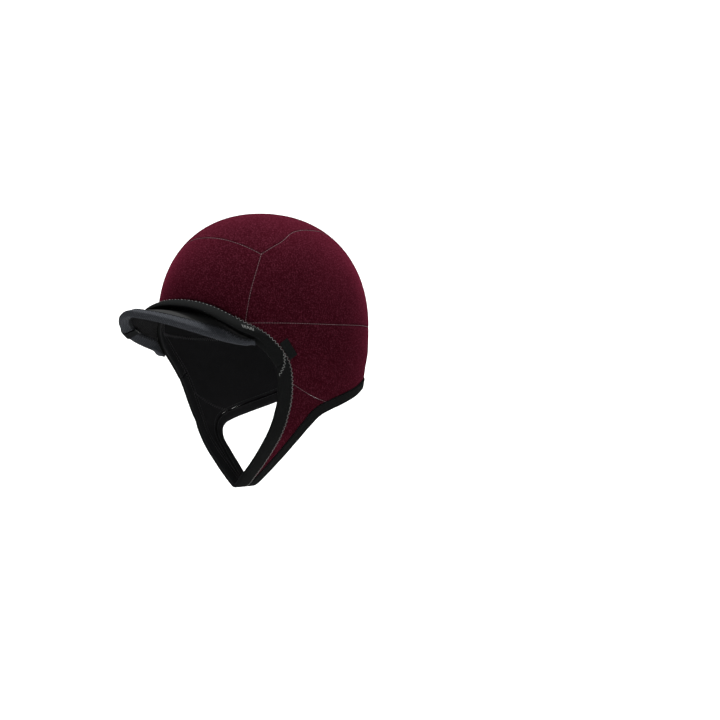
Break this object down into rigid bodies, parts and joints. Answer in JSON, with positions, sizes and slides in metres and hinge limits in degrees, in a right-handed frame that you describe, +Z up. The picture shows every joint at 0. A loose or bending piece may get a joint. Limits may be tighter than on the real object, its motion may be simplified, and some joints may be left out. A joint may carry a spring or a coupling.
{
  "type": "neoprene surf cap with peak and chin strap",
  "caption": "Close-fitting neoprene cap with a short arched peak, face opening, ear and neck cover and a chin strap in one piece, maroon outside and black inside.",
  "frame": {"origin": "inner top of the crown, where the wearer's head carries the cap", "axes": "+Z up, the face looks along -Y, the wearer's left is +X"},
  "size_m": [0.1638, 0.2503, 0.242],
  "materials": {
    "maroon_knit": "brushed knit face bonded to foam, matt with a soft sheen",
    "black_neoprene": "smooth jersey face bonded to foam, matt",
    "slate_tape": "plain woven binding tape, matt",
    "black_tape": "plain woven tape, matt"
  },
  "bodies": {
    "root": {"front_panel": "maroon_knit", "crown_panel": "maroon_knit", "back_panel": "maroon_knit", "upper_side_panel_left": "maroon_knit", "upper_side_panel_right": "maroon_knit", "lower_side_panel_left": "maroon_knit", "lower_side_panel_right": "maroon_knit", "chin_strap_panel": "maroon_knit", "face_band_brow": "black_neoprene", "face_band_cheeks": "black_neoprene", "neck_band": "black_neoprene", "peak_panel": "black_neoprene", "peak_edge_tape": "slate_tape", "peak_tag": "black_tape", "temple_tab": "black_tape"}
  },
  "joints": []
}
